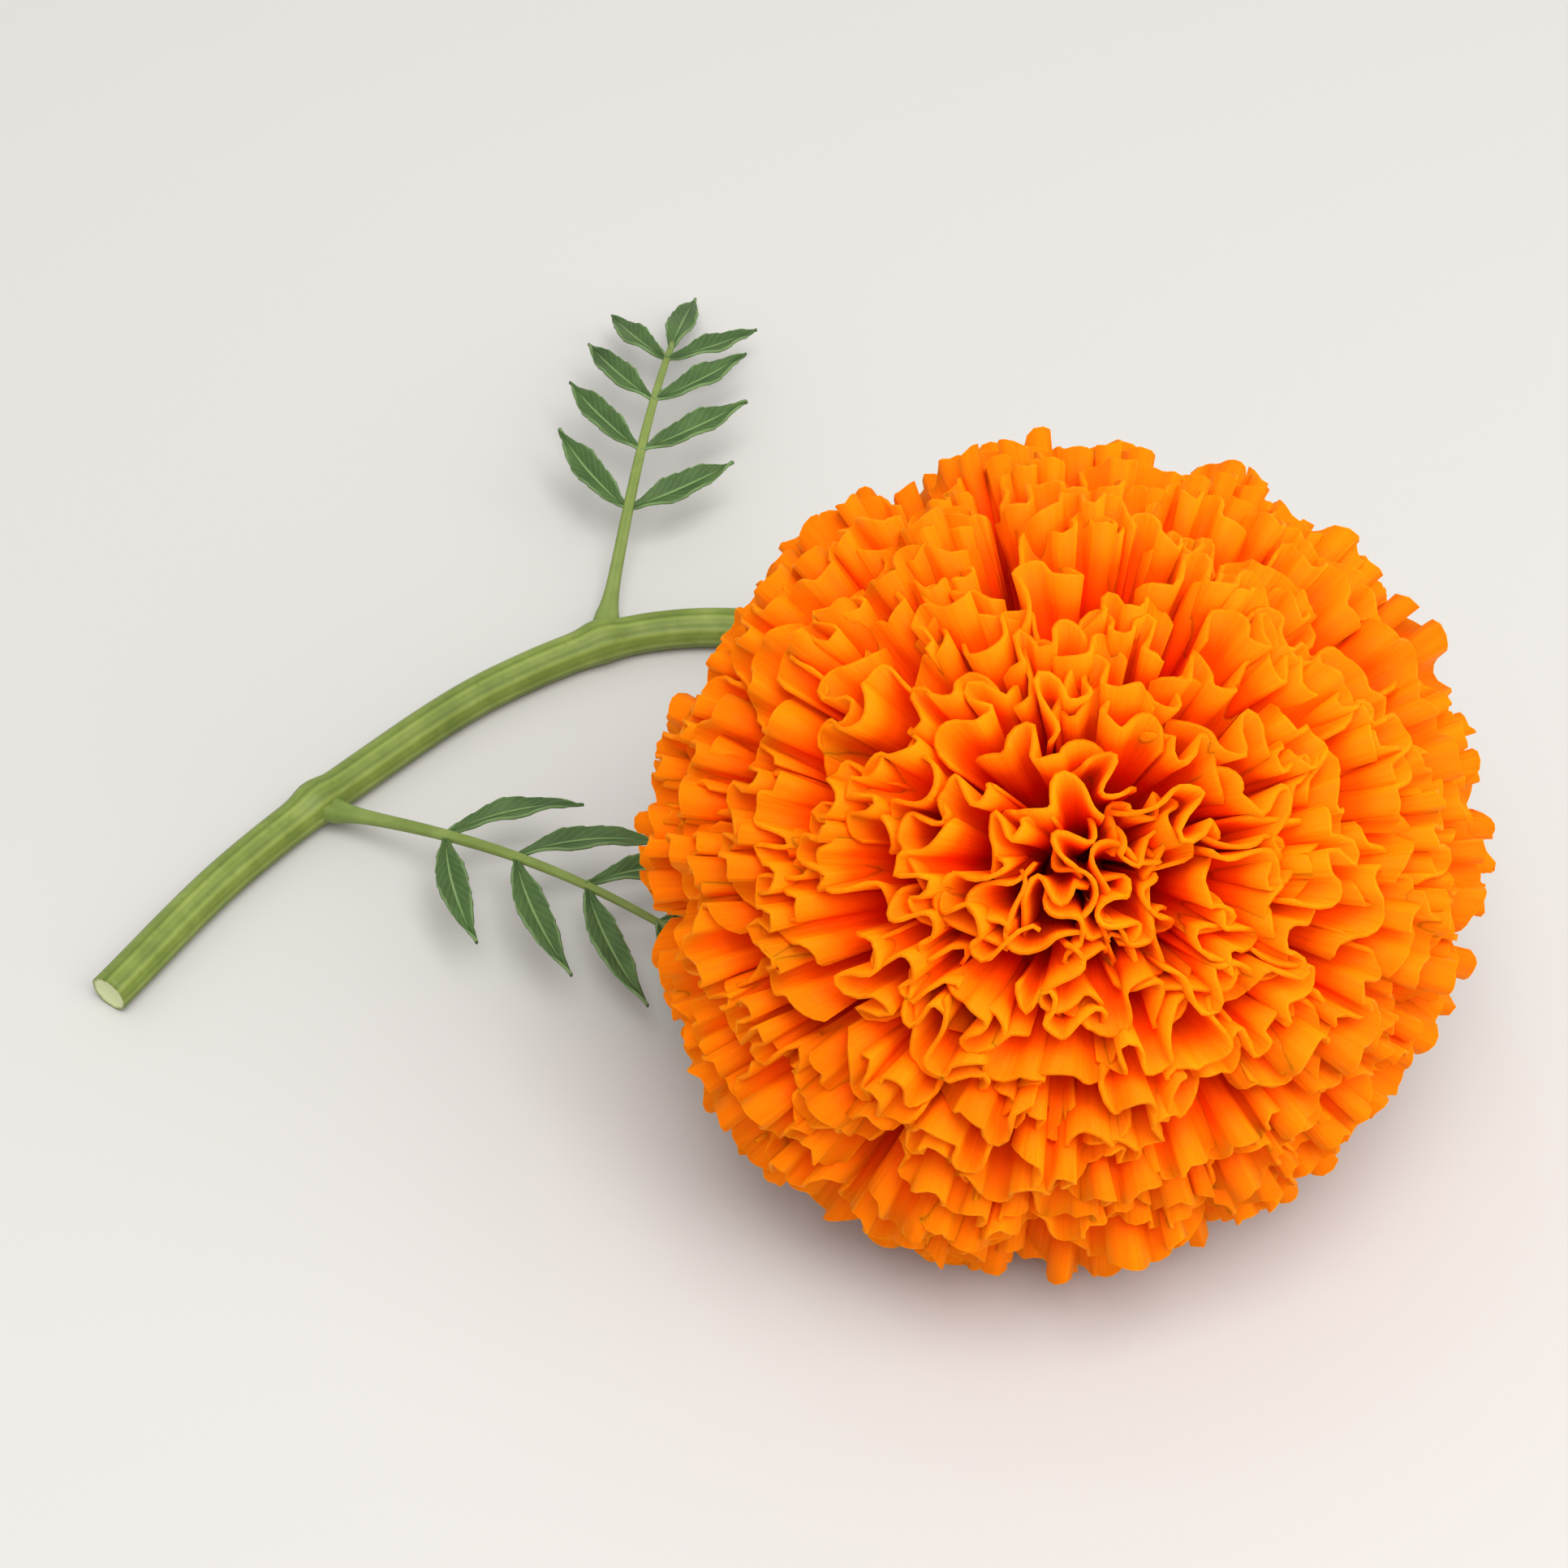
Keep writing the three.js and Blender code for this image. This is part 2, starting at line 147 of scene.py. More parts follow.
def new_piece(name, points, faces, attributes):
    """A smooth object at the origin, from a grid of points and the faces between them. An attribute has
    one value for each point, or one that stands for a whole row, column or piece."""
    mesh = bpy.data.meshes.new(name)
    mesh.from_pydata(points.reshape(-1, 3), [], faces)
    for key, values in attributes.items():
        attribute = mesh.attributes.new(key, "FLOAT", "POINT")
        spread = np.broadcast_to(values, points.shape[:-1]).astype(np.float32)
        attribute.data.foreach_set("value", spread.ravel())
    mesh.shade_smooth()
    piece = bpy.data.objects.new(name, mesh)
    bpy.context.scene.collection.objects.link(piece)
    return piece


def tube_mesh(name, points, attributes):
    """One closed piece from rings of points, shaped (rings, columns, 3). Each ring is joined to the next,
    round the seam too, and one face closes each end."""
    rings, columns = points.shape[:2]
    index = np.arange(rings * columns).reshape(rings, columns)
    beside = np.roll(index, -1, axis=1)
    corners = [index[:-1], beside[:-1], beside[1:], index[1:]]
    faces = np.stack([corner.ravel() for corner in corners], axis=1).tolist()
    faces += [index[0, ::-1].tolist(), index[-1].tolist()]
    return new_piece(name, points, faces, attributes)


class Finish:
    """A new material, with one short call for each kind of node that this flower's colours are made of."""

    def __init__(self, name, roughness, gloss):
        self.material = bpy.data.materials.new(name)
        self.material.use_nodes = True
        self.nodes = self.material.node_tree.nodes
        self.link = self.material.node_tree.links.new
        self.shader = self.nodes["Principled BSDF"]
        self.shader.inputs["Roughness"].default_value = roughness
        self.shader.inputs["Specular IOR Level"].default_value = gloss

    def attribute(self, key):
        """A value that the mesh carries at its points."""
        node = self.nodes.new("ShaderNodeAttribute")
        node.attribute_name = key
        return node.outputs["Fac"]

    def own_place(self):
        """The place of each point of the piece, in metres."""
        return self.nodes.new("ShaderNodeTexCoord").outputs["Object"]

    def noise(self, place, scale, detail):
        """Soft random mottling, with so many blotches to each unit of place."""
        node = self.nodes.new("ShaderNodeTexNoise")
        node.inputs["Scale"].default_value = scale
        node.inputs["Detail"].default_value = detail
        self.link(place, node.inputs["Vector"])
        return node.outputs["Fac"]

    def arithmetic(self, operation, *values):
        """One step of arithmetic on other nodes' values and plain numbers."""
        node = self.nodes.new("ShaderNodeMath")
        node.operation = operation
        for socket, value in zip(node.inputs, values):
            if isinstance(value, float):
                socket.default_value = value
            else:
                self.link(value, socket)
        return node.outputs["Value"]

    def between(self, value, low, high, at_low, at_high):
        """Goes evenly from one result to the other while the value goes from low to high, and no further."""
        node = self.nodes.new("ShaderNodeMapRange")
        node.inputs["From Min"].default_value = low
        node.inputs["From Max"].default_value = high
        node.inputs["To Min"].default_value = at_low
        node.inputs["To Max"].default_value = at_high
        self.link(value, node.inputs["Value"])
        return node.outputs["Result"]

    def ramp(self, value, stops):
        """The colour for a value, blended between stops. Each stop is a value and its colour."""
        node = self.nodes.new("ShaderNodeValToRGB")
        elements = node.color_ramp.elements
        while len(elements) < len(stops):
            elements.new(0.5)
        for element, (position, colour) in zip(elements, stops):
            element.position = position
            element.color = colour
        self.link(value, node.inputs["Fac"])
        return node.outputs["Color"]

    def toward(self, base, share, colour):
        """The base colour, moved by a share from 0 to 1 towards another one."""
        node = self.nodes.new("ShaderNodeMix")
        node.data_type = "RGBA"
        node.inputs["B"].default_value = colour
        self.link(share, node.inputs["Factor"])
        self.link(base, node.inputs["A"])
        return node.outputs["Result"]

    def paint(self, colour):
        """Gives the shader its colour."""
        self.link(colour, self.shader.inputs["Base Color"])

    def relief(self, height, strength, depth):
        """Raises the surface by a height value, up to a depth in metres, in its shading alone."""
        bump = self.nodes.new("ShaderNodeBump")
        bump.inputs["Strength"].default_value = strength
        bump.inputs["Distance"].default_value = depth
        self.link(height, bump.inputs["Height"])
        self.link(bump.outputs["Normal"], self.shader.inputs["Normal"])


def green_material(name, stops, roughness, spots):
    """Plant green. The point attribute ridge and a soft mottle pick the colour between furrow and ridge,
    tiny darker glands spot it, and the point attribute cut turns it to pale pith."""
    finish = Finish(name, roughness, gloss=0.3)
    place = finish.own_place()
    mottle = finish.noise(place, scale=260, detail=4.0)
    height = finish.arithmetic("MULTIPLY_ADD", finish.attribute("ridge"), 0.5, -0.2)
    colour = finish.ramp(finish.arithmetic("MULTIPLY_ADD", mottle, 0.9, height), stops)
    glands = finish.nodes.new("ShaderNodeTexVoronoi")
    glands.inputs["Scale"].default_value = 700
    finish.link(place, glands.inputs["Vector"])
    dots = finish.between(glands.outputs["Distance"], low=0.16, high=0.28, at_low=spots, at_high=0.0)
    colour = finish.toward(colour, dots, stops[0][1])
    colour = finish.toward(colour, finish.attribute("cut"), PITH_COLOUR)
    finish.paint(colour)
    finish.relief(mottle, strength=0.3, depth=0.15 * MM)
    return finish.material


# The path is lifted until the stem lies on the surface. The ridges are two cosines round the stem, one
# nearly twice as fine as the other, which drift slowly along it.
stem_path = smooth_path(STEM_ROUTE, STEM_RINGS)
share = np.linspace(0, 1, STEM_RINGS)
knot_shares = np.array([[UPPER_LEAF_SHARE], [LOWER_LEAF_SHARE]])
knots = KNOT_HEIGHT * np.exp(-(((share - knot_shares) / KNOT_LENGTH) ** 2)).sum(axis=0)
swelling = STEM_SWELLING * np.maximum(0, 1 - share / SWELLING_SHARE) ** SWELLING_POWER
stem_radius = STEM_RADIUS + swelling + knots
stem_path[:, 2] = np.maximum(stem_path[:, 2], stem_radius)
turn = once_round(STEM_COLUMNS)
drift = RIDGE_DRIFT * np.sin(DRIFT_SPEED * share)[:, None]
ridge = 0.5 + COARSE_RIDGE * np.cos(STEM_RIDGES * turn + drift)
ridge = ridge + FINE_RIDGE * np.cos((2 * STEM_RIDGES - 1) * turn + 2 * drift)
rings = tube_points(stem_path, stem_radius[:, None] - FURROW_DEPTH * (1 - ridge) ** 2)
rings = np.concatenate([
    end_rings(stem_path[0], stem_path[1], rings[0], SHOULDER_PROFILE),
    rings,
    end_rings(stem_path[-1], stem_path[-2], rings[-1], CUT_PROFILE),
])
rings[..., 2] = np.maximum(rings[..., 2], STEM_CLEARANCE)
ridge = np.pad(ridge, ((len(SHOULDER_PROFILE), len(CUT_PROFILE)), (0, 0)), mode="edge")
cut = np.zeros((len(rings), 1))
cut[-len(CUT_PROFILE):, 0] = CUT_PALENESS
stem = tube_mesh("stem_skin", rings, {"ridge": ridge, "cut": cut})
stem.data.materials.append(green_material("stem_green", STEM_COLOURS, roughness=0.5, spots=0.2))
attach(stem, "root")
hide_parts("stem")

# ---- The leaves ----
# Two pinnate leaves: a slim grooved rib with four pairs of narrow leaflets and one at its end. Leaflets
# are thin, folded along the midrib, finely saw-toothed, dark green with paler veins and margins.
LEAF_ARCH = 7 * MM
ARCH_SPAN = 1.12
LEAF_TIP_DROP = 2 * MM
LEAF_DROOP = 0.012 / MM
FLOOR_CLEARANCE = 0.3 * MM
# Each leaf: name, node, share of the stem's length, degrees from the stem's way to the calyx, and length.
LEAVES = [
    ("upper", "upper_leaf", UPPER_LEAF_SHARE, 58, 52 * MM),
    ("lower", "lower_leaf", LOWER_LEAF_SHARE, -74, 56 * MM),
]
# Joints and sizes of the leaflets are shares of the leaf's length, and angles are degrees from its rib.
LEAFLET_PAIRS = 4
FIRST_PAIR = 0.26
PAIR_SPREAD = 0.48
END_JOINT = 0.78
LONGEST_LEAFLET = 0.31
LONGEST_AT = 0.4
SHORTENING = 0.07
END_LEAFLET = 0.3
LEAFLET_LEAN = 58
LEAN_FALL = 8
LEAFLET_STRAY = 5
LEAFLET_BEND = 12
LEAFLET_ROWS = 49
LEAFLET_COLUMNS = 9
LEAFLET_THICKNESS = 0.35 * MM
LEAFLET_HALF_WIDTH = 1.75 * MM
STALK_WIDTH = 0.12
BLADE_WIDTH = 0.93
LEAFLET_TEETH = 8
TOOTH_DEPTH = 0.10
LEAFLET_HEIGHT = 0.35 * MM
TIP_LIFTS = (-0.6, 1.0)
FOLD_SLOPE = 0.4
MIDRIB_GROOVE = 0.18 * MM
MIDRIB_WIDTH = 0.16
LEAFLET_WAVE = 0.3 * MM
WAVES_ALONG = 2.5
# The rib's radius falls from the stem to the tip, and is larger where it clasps the stem.
RIB_RINGS = 50
RIB_COLUMNS = 20
RIB_START = -2.6 * MM
RIB_END = 0.82
RIB_LIFT = 0.3 * MM
RIB_RADIUS = 0.8 * MM
RIB_TAPER = 0.5 * MM
RIB_CLASP = 0.7 * MM
CLASP_SHARE = 0.035
RIB_GROOVE = 0.35
GROOVE_ANGLE = 0.45
RIB_RIDGE = 0.8
SEAT_GAP = 0.3 * MM
# These greens are kept about a sixth darker than the rib's own green: painted shade over the whole rib.
RIB_COLOURS = [
    (0.0, (0.08, 0.13, 0.022, 1)),
    (0.5, (0.14, 0.20, 0.037, 1)),
    (1.0, (0.225, 0.295, 0.075, 1)),
]
# The leaflet greens are kept about a sixth darker than their own green: painted shade over the whole leaf.
LEAF_COLOURS = [(0.25, (0.032, 0.072, 0.018, 1)), (0.75, (0.075, 0.14, 0.037, 1))]
VEIN_COLOUR = (0.15, 0.26, 0.08, 1)
VEIN_STRENGTH = 0.22
VEINS_ALONG = 75.0
VEIN_SLANT = -32.0
MARGIN_COLOUR = (0.20, 0.31, 0.12, 1)
MIDRIB_COLOUR = (0.22, 0.34, 0.12, 1)


def sheet_mesh(name, points, uv, thickness, attributes):
    """One piece from a stack of grids, shaped (sheets, rows, columns, 3), and a UV for each point.
    Neighbouring points are joined to squares, and a sheet gets its thickness, half on either side."""
    sheets, rows, columns = points.shape[:3]
    index = np.arange(sheets * rows * columns).reshape(sheets, rows, columns)
    corners = [index[:, :-1, :-1], index[:, :-1, 1:], index[:, 1:, 1:], index[:, 1:, :-1]]
    squares = np.stack([corner.ravel() for corner in corners], axis=1)
    piece = new_piece(name, points, squares.tolist(), attributes)
    layer = piece.data.uv_layers.new(name="along")
    layer.data.foreach_set("uv", uv.reshape(-1, 2)[squares.ravel()].astype(np.float32).ravel())
    solidify = piece.modifiers.new("thickness", "SOLIDIFY")
    solidify.thickness = thickness
    solidify.offset = 0
    return piece


def climb(value, start, end):
    """0 up to the start, 1 from the end on, and a straight climb between them."""
    return np.clip((value - start) / (end - start), 0, 1)


def leaf_to_row(points, root, angle, length):
    """Turns points of a leaf's own frame, X along its rib, and bends them over its arch: a sine hump along
    the rib, falling towards the tip, and a droop that grows with the square of the distance beside the
    rib."""
    x, y = points[..., 0], points[..., 1]
    bent = np.maximum(x, 0)
    hump = LEAF_ARCH * np.sin(math.pi * bent / (ARCH_SPAN * length))
    arch = hump - LEAF_TIP_DROP * bent / length - LEAF_DROOP * y**2
    east = root[0] + (x * math.cos(angle) - y * math.sin(angle))
    north = root[1] + (x * math.sin(angle) + y * math.cos(angle))
    return np.stack([east, north, root[2] + points[..., 2] + arch], axis=-1)


def leaflets(name, root, angle, length, seed):
    """The leaflets of one leaf, in pairs along the rib and one at its end. Arrays are shaped (leaflets,
    rows, columns). Outline: a power of the sine of the share u of the length, fullest at the middle,
    tapered to a stalk and to a pointed tip, with small forward teeth. Section: a V that opens upward, with
    a groove at the midrib and a slow wave."""
    random = np.random.default_rng(seed)
    count = 2 * LEAFLET_PAIRS + 1
    pair = np.repeat(np.linspace(0, 1, LEAFLET_PAIRS), 2)
    joint = np.append(length * (FIRST_PAIR + PAIR_SPREAD * pair), END_JOINT * length)
    size = LONGEST_LEAFLET - SHORTENING * np.abs(pair - LONGEST_AT)
    size = np.append(length * size, END_LEAFLET * length)
    hand = np.append(np.tile([1.0, -1.0], LEAFLET_PAIRS), 0.0)
    lean = np.append(LEAFLET_LEAN - LEAN_FALL * pair, 0)
    lean = lean + random.uniform(-LEAFLET_STRAY, LEAFLET_STRAY, count)
    lean = np.radians(lean) * np.where(hand == 0, 1, hand)
    joint, size, hand, lean = [values[:, None, None] for values in (joint, size, hand, lean)]
    phase = random.uniform(0, 2 * math.pi, hand.shape)
    lift = random.uniform(*TIP_LIFTS, hand.shape) * MM

    u = np.linspace(0, 1, LEAFLET_ROWS)[:, None]
    v = np.linspace(-1, 1, LEAFLET_COLUMNS)
    blade = BLADE_WIDTH * np.abs(np.sin(math.pi * u**0.98)) ** 1.25
    outline = LEAFLET_HALF_WIDTH * (STALK_WIDTH * (1 - u) + blade)
    tooth = (u * LEAFLET_TEETH) % 1
    half_width = outline * (1 + TOOTH_DEPTH * (tooth - 0.6) * np.abs(v) ** 3)
    bend = lean - np.radians(LEAFLET_BEND) * hand * u
    along, across = size * u, v * half_width
    x = joint + along * np.cos(bend) - across * np.sin(bend)
    y = along * np.sin(bend) + across * np.cos(bend)
    fold = FOLD_SLOPE * np.abs(across) - MIDRIB_GROOVE * np.exp(-((v / MIDRIB_WIDTH) ** 2))
    wave = LEAFLET_WAVE * np.sin(2 * math.pi * WAVES_ALONG * u + phase + 2 * np.sign(v)) * v**2
    z = LEAFLET_HEIGHT + fold + wave + lift * u**2
    placed = leaf_to_row(np.stack(np.broadcast_arrays(x, y, z), axis=-1), root, angle, length)
    placed[..., 2] = np.maximum(placed[..., 2], FLOOR_CLEARANCE)
    uv = np.stack(np.broadcast_arrays(v / 2 + 0.5, u + 0 * phase), axis=-1)
    return sheet_mesh(name, placed, uv, LEAFLET_THICKNESS, {})


def leaf_rib(name, root, angle, length):
    """The rib of one leaf: rings along its middle line, wide where it clasps the stem and slim at the end,
    with a groove along the top."""
    along = np.linspace(RIB_START, RIB_END * length, RIB_RINGS)
    line = np.stack([along, 0 * along, 0 * along + RIB_LIFT], axis=1)
    path = leaf_to_row(line, root, angle, length)
    share = climb(along, 0, length)
    radius = RIB_RADIUS - RIB_TAPER * share + RIB_CLASP * np.exp(-share / CLASP_SHARE)
    off_top = once_round(RIB_COLUMNS) - math.pi / 2
    groove = 1 - RIB_GROOVE * np.exp(-((off_top / GROOVE_ANGLE) ** 2))
    return tube_mesh(name, tube_points(path, radius[:, None] * groove), {"ridge": RIB_RIDGE, "cut": 0})


def blade_uv(finish):
    """The place on a leaflet or petal: x runs across it and y along it, both from 0 to 1."""
    node = finish.nodes.new("ShaderNodeUVMap")
    node.uv_map = "along"
    return node.outputs["UV"]


def let_light_in(finish, share, reach, scale):
    """Thin tissue lets a share of the light in, and each colour comes out again within its own reach."""
    finish.shader.inputs["Subsurface Weight"].default_value = share
    finish.shader.inputs["Subsurface Radius"].default_value = reach
    finish.shader.inputs["Subsurface Scale"].default_value = scale


def leaf_material():
    """Matt dark green with a soft mottle. The distance from the middle, 0.5 at the edge, gives a paler
    midrib and margin, and a sine of the place along minus that distance gives slanted side veins."""
    finish = Finish("leaf_green", roughness=0.55, gloss=0.25)
    let_light_in(finish, share=0.1, reach=(0.3, 1.0, 0.2), scale=0.4 * MM)
    parts = finish.nodes.new("ShaderNodeSeparateXYZ")
    finish.link(blade_uv(finish), parts.inputs["Vector"])
    off_middle = finish.arithmetic("SUBTRACT", parts.outputs["X"], 0.5)
    off_middle = finish.arithmetic("ABSOLUTE", off_middle)
    slant = finish.arithmetic("MULTIPLY", parts.outputs["Y"], VEINS_ALONG)
    slant = finish.arithmetic("MULTIPLY_ADD", off_middle, VEIN_SLANT, slant)
    vein = finish.arithmetic("MULTIPLY_ADD", finish.arithmetic("SINE", slant), 0.5, 0.5)
    vein = finish.arithmetic("POWER", vein, 6.0)
    margin = finish.between(off_middle, low=0.4455, high=0.4909, at_low=0.0, at_high=0.6)
    midrib = finish.between(off_middle, low=0.02, high=0.06, at_low=0.8, at_high=0.0)
    mottle = finish.noise(finish.own_place(), scale=220, detail=5.0)
    colour = finish.ramp(mottle, LEAF_COLOURS)
    colour = finish.toward(colour, finish.arithmetic("MULTIPLY", vein, VEIN_STRENGTH), VEIN_COLOUR)
    colour = finish.toward(colour, margin, MARGIN_COLOUR)
    colour = finish.toward(colour, midrib, MIDRIB_COLOUR)
    finish.paint(colour)
    sunken_veins = finish.arithmetic("MULTIPLY_ADD", vein, -0.6, mottle)
    finish.relief(sunken_veins, strength=0.4, depth=0.12 * MM)
    return finish.material


leaf_green = leaf_material()
rib_green = green_material("rib_green", RIB_COLOURS, roughness=0.5, spots=0.1)
# A leaf's own frame starts beside the stem, at the height of its middle line, where the rib comes out.
for name, node, stem_share, turned, length in LEAVES:
    at = round(stem_share * (STEM_RINGS - 1))
    back = stem_path[at - 1] - stem_path[at + 1]
    slant = math.radians(turned)
    angle = math.atan2(back[1], back[0]) + slant
    outward = np.array([math.cos(angle), math.sin(angle), 0])
    seat = (STEM_RADIUS + SEAT_GAP + RIB_RADIUS * math.cos(slant)) / math.sin(abs(slant))
    root = stem_path[at] + seat * outward
    for piece, green in [
        (leaflets(name + "_leaflets", root, angle, length, seed=at), leaf_green),
        (leaf_rib(name + "_leaf_rib", root, angle, length), rib_green),
    ]:
        piece.data.materials.append(green)
        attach(piece, "root")
        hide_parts(node)

# ---- The calyx ----
# A vase-shaped cup of green bracts grown together: lengthwise ribs, brownish furrows between them, tiny
# oil glands, and a short pointed tooth at the top of each bract. It holds the florets.
BLOOM_ORIGIN = np.array([29.529, -33.5, 28.254]) * MM
FACE_LEAN = math.radians(45)
FACE_TURN = math.radians(8)
CALYX_RINGS = 44
CALYX_COLUMNS = 144
CALYX_RIBS = 8
# The cup's outside from the stem up: radius, height from the bloom's origin, and height of the ribs.
CALYX_WALL = np.array([
    (4.0, -21.2, 0), (4.5, -20.7, 0), (5.6, -18.5, 0.2), (7.7, -13, 0.55), (8.9, -7, 0.65),
    (8.8, -2.5, 0.5), (8.7, 0, 0.4),
]) * MM
FINE_RIB = 0.12
TOOTH_HEIGHT = 2.6 * MM
TOOTH_ROOT = -3.5 * MM
TOOTH_POWER = 1.4
TOOTH_FLARE = 0.25
# The cup's inside from the lip down: radius and height in millimetres, and share of the teeth in it.
CALYX_INSIDE = np.array([(8.05, 0.0, 1.0), (7.6, -0.5, 0.55), (7.2, -1.5, 0.0), (3.0, -1.6, 0.0)])
INSIDE_RIDGE = 0.6
CALYX_COLOURS = [
    (0.0, (0.10, 0.085, 0.014, 1)),
    (0.4, (0.19, 0.22, 0.032, 1)),
    (1.0, (0.38, 0.43, 0.10, 1)),
]


def bloom_to_row(points):
    """Turns points of the bloom's own frame, whose Z is its axis, about X by the lean and about Z by the
    turn, and moves them to the bloom's place."""
    lean, turn = FACE_LEAN, FACE_TURN
    about_x = np.array([
        [1, 0, 0],
        [0, math.cos(lean), -math.sin(lean)],
        [0, math.sin(lean), math.cos(lean)],
    ])
    about_z = np.array([
        [math.cos(turn), -math.sin(turn), 0],
        [math.sin(turn), math.cos(turn), 0],
        [0, 0, 1],
    ])
    return points @ (about_z @ about_x).T + BLOOM_ORIGIN


def rings_round_axis(turn, radius, height):
    """Rings about the bloom's axis, one row for each height and one column for each angle."""
    rings = np.broadcast_arrays(radius * np.cos(turn), radius * np.sin(turn), height)
    return bloom_to_row(np.stack(rings, axis=-1))


# The ribs are a cosine round the cup with a finer one on it. The teeth are a power of the same cosine, and
# are drawn up from a little below the lip.
turn = once_round(CALYX_COLUMNS)[None, :]
wave = np.cos(CALYX_RIBS * turn)
ridge = 0.5 + 0.5 * wave + FINE_RIB * np.cos(3 * CALYX_RIBS * turn)
wall = smooth_path(CALYX_WALL, CALYX_RINGS)
wall_radius, wall_height, rib_height = wall[:, :1], wall[:, 1:2], wall[:, 2:]
tooth = climb(wall_height, TOOTH_ROOT, 0) * TOOTH_HEIGHT * np.maximum(0, wave) ** TOOTH_POWER
inside_tooth = CALYX_INSIDE[:, 2:] * tooth[-1:]
radius = np.concatenate([
    wall_radius + rib_height * (ridge - 0.5) * 2 + TOOTH_FLARE * tooth,
    CALYX_INSIDE[:, :1] * MM + TOOTH_FLARE * inside_tooth,
])
height = np.concatenate([wall_height + tooth, CALYX_INSIDE[:, 1:2] * MM + inside_tooth])
ridge = np.concatenate([
    np.repeat(ridge, CALYX_RINGS, axis=0),
    np.full((len(CALYX_INSIDE), CALYX_COLUMNS), INSIDE_RIDGE),
])
calyx = tube_mesh("calyx_bracts", rings_round_axis(turn, radius, height), {"ridge": ridge, "cut": 0})
calyx.data.materials.append(green_material("calyx_green", CALYX_COLOURS, roughness=0.42, spots=0.35))
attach(calyx, "root")
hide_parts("calyx")

# ---- The floret base ----
# The lower halves of the florets: narrow tubes packed side by side into a dome on the flower's base, pale
# where they leave the calyx. They carry the petals, and show only from behind and deep between them.
SHOULDER_RADIUS = 42.0 * MM
SHOULDER_LIFT = 7 * MM
CROWN_HEIGHT = 35 * MM
SKIRT_DEPTH = 27 * MM
FLORET_TUBES = 44
COLUMNS_PER_TUBE = 4
TUBE_RELIEF = 0.035
FLORET_ROOT_RADIUS = 6 * MM
# The neck's profile from inside the calyx out below the lowest petals: radius and height.
FLORET_NECK = np.array([
    (6.6, -1.2), (7.0, 0.5), (7.1, 3.0), (7.6, 5.0), (10.5, 6.4), (16, 6.6), (21, 6.4),
]) * MM
DOME_START = 100
DOME_END = 2
DOME_RINGS = 20
DOME_CENTRE = 9 * MM
DOME_SHARE = 0.54
DOME_HOLLOW = 0.14
DOME_HOLLOW_ANGLE = 35
# Pale neck and orange tubes, then deep and dark red over the dome: painted shade deep between the petals.
FLORET_COLOURS_AND_SHADE = [
    (0.05, (0.42, 0.40, 0.07, 1)),
    (0.2, (0.85, 0.30, 0.015, 1)),
    (0.35, (0.9, 0.09, 0.0, 1)),
    (0.6, (0.6, 0.015, 0.0, 1)),
]


def envelope(polar):
    """The ball that the petal tips reach: an ellipse of revolution, deeper above the shoulder than below.
    Gives distance from the axis and height for an angle from the axis, in degrees."""
    polar = np.radians(polar)
    depth = np.where(polar < math.pi / 2, CROWN_HEIGHT, SKIRT_DEPTH)
    reach = 1 / np.hypot(np.sin(polar) / SHOULDER_RADIUS, np.cos(polar) / depth)
    return reach * np.sin(polar), SHOULDER_LIFT + reach * np.cos(polar)


def root_radius(polar):
    """How far from the axis a floret is rooted: the further, the lower its petal stands in the bloom."""
    return FLORET_ROOT_RADIUS * np.minimum(1, polar / DOME_START)


def floret_rings():
    """Rings with a rib for each tube. The profile leaves the calyx as a neck, runs out below the lowest
    petals, and closes over a dome that lies a share of the way from the roots to the ball of petal tips,
    less near the axis."""
    polar = np.linspace(DOME_START, DOME_END, DOME_RINGS)
    out, height = envelope(polar)
    root = root_radius(polar)
    share = DOME_SHARE - DOME_HOLLOW * np.exp(-((polar / DOME_HOLLOW_ANGLE) ** 2))
    dome = np.stack([root + share * (out - root), DOME_CENTRE + share * (height - DOME_CENTRE)], axis=1)
    profile = np.concatenate([FLORET_NECK, dome])
    turn = once_round(COLUMNS_PER_TUBE * FLORET_TUBES)
    radius = profile[:, :1] * (1 + TUBE_RELIEF * np.cos(FLORET_TUBES * turn))
    return rings_round_axis(turn, radius, profile[:, 1:])


def floret_material():
    """Pale green-yellow at the neck, orange further out, and deep red in the dome as painted shade deep
    between the petals, by the point attribute rise and a fine mottling."""
    finish = Finish("floret_tubes", roughness=0.6, gloss=0.1)
    mottle = finish.noise(finish.own_place(), scale=500, detail=2.0)
    rise = finish.arithmetic("MULTIPLY_ADD", mottle, 0.12, finish.attribute("rise"))
    finish.paint(finish.ramp(rise, FLORET_COLOURS_AND_SHADE))
    return finish.material


rings = floret_rings()
rise = np.linspace(0, 1, len(rings))[:, None]
florets = tube_mesh("floret_tubes", rings, {"rise": rise})
florets.data.materials.append(floret_material())
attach(florets, "root")
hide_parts("bloom")

# ---- The petals ----
# A full double marigold: some 400 florets packed on a short base, each with one fan-shaped petal of thin
# waxy tissue. A petal is pleated along its length and frilled at its rim, curled up in the heart of the
# bloom and bent outward in the outer rows.
FLORETS = 400
PETAL_ROWS = 5
PETAL_COLUMNS = 25
PETAL_THICKNESS = 0.4 * MM
# Each zone of petals is one piece: its name, its first petal, the one after its last, and its seed.
PETAL_PIECES = [
    ("heart_petals", 0, 88, 3),
    ("crown_petals", 88, 188, 91),
    ("shoulder_petals", 188, 292, 191),
    ("skirt_petals", 292, FLORETS, 295),
]
# Places on the ball of petal tips, in degrees.
GOLDEN_ANGLE = 137.508
LAST_PETAL_ANGLE = 128.0
HEART_CROWDING = 1.08
POLAR_STRAY = 3.5
AZIMUTH_STRAY = 7
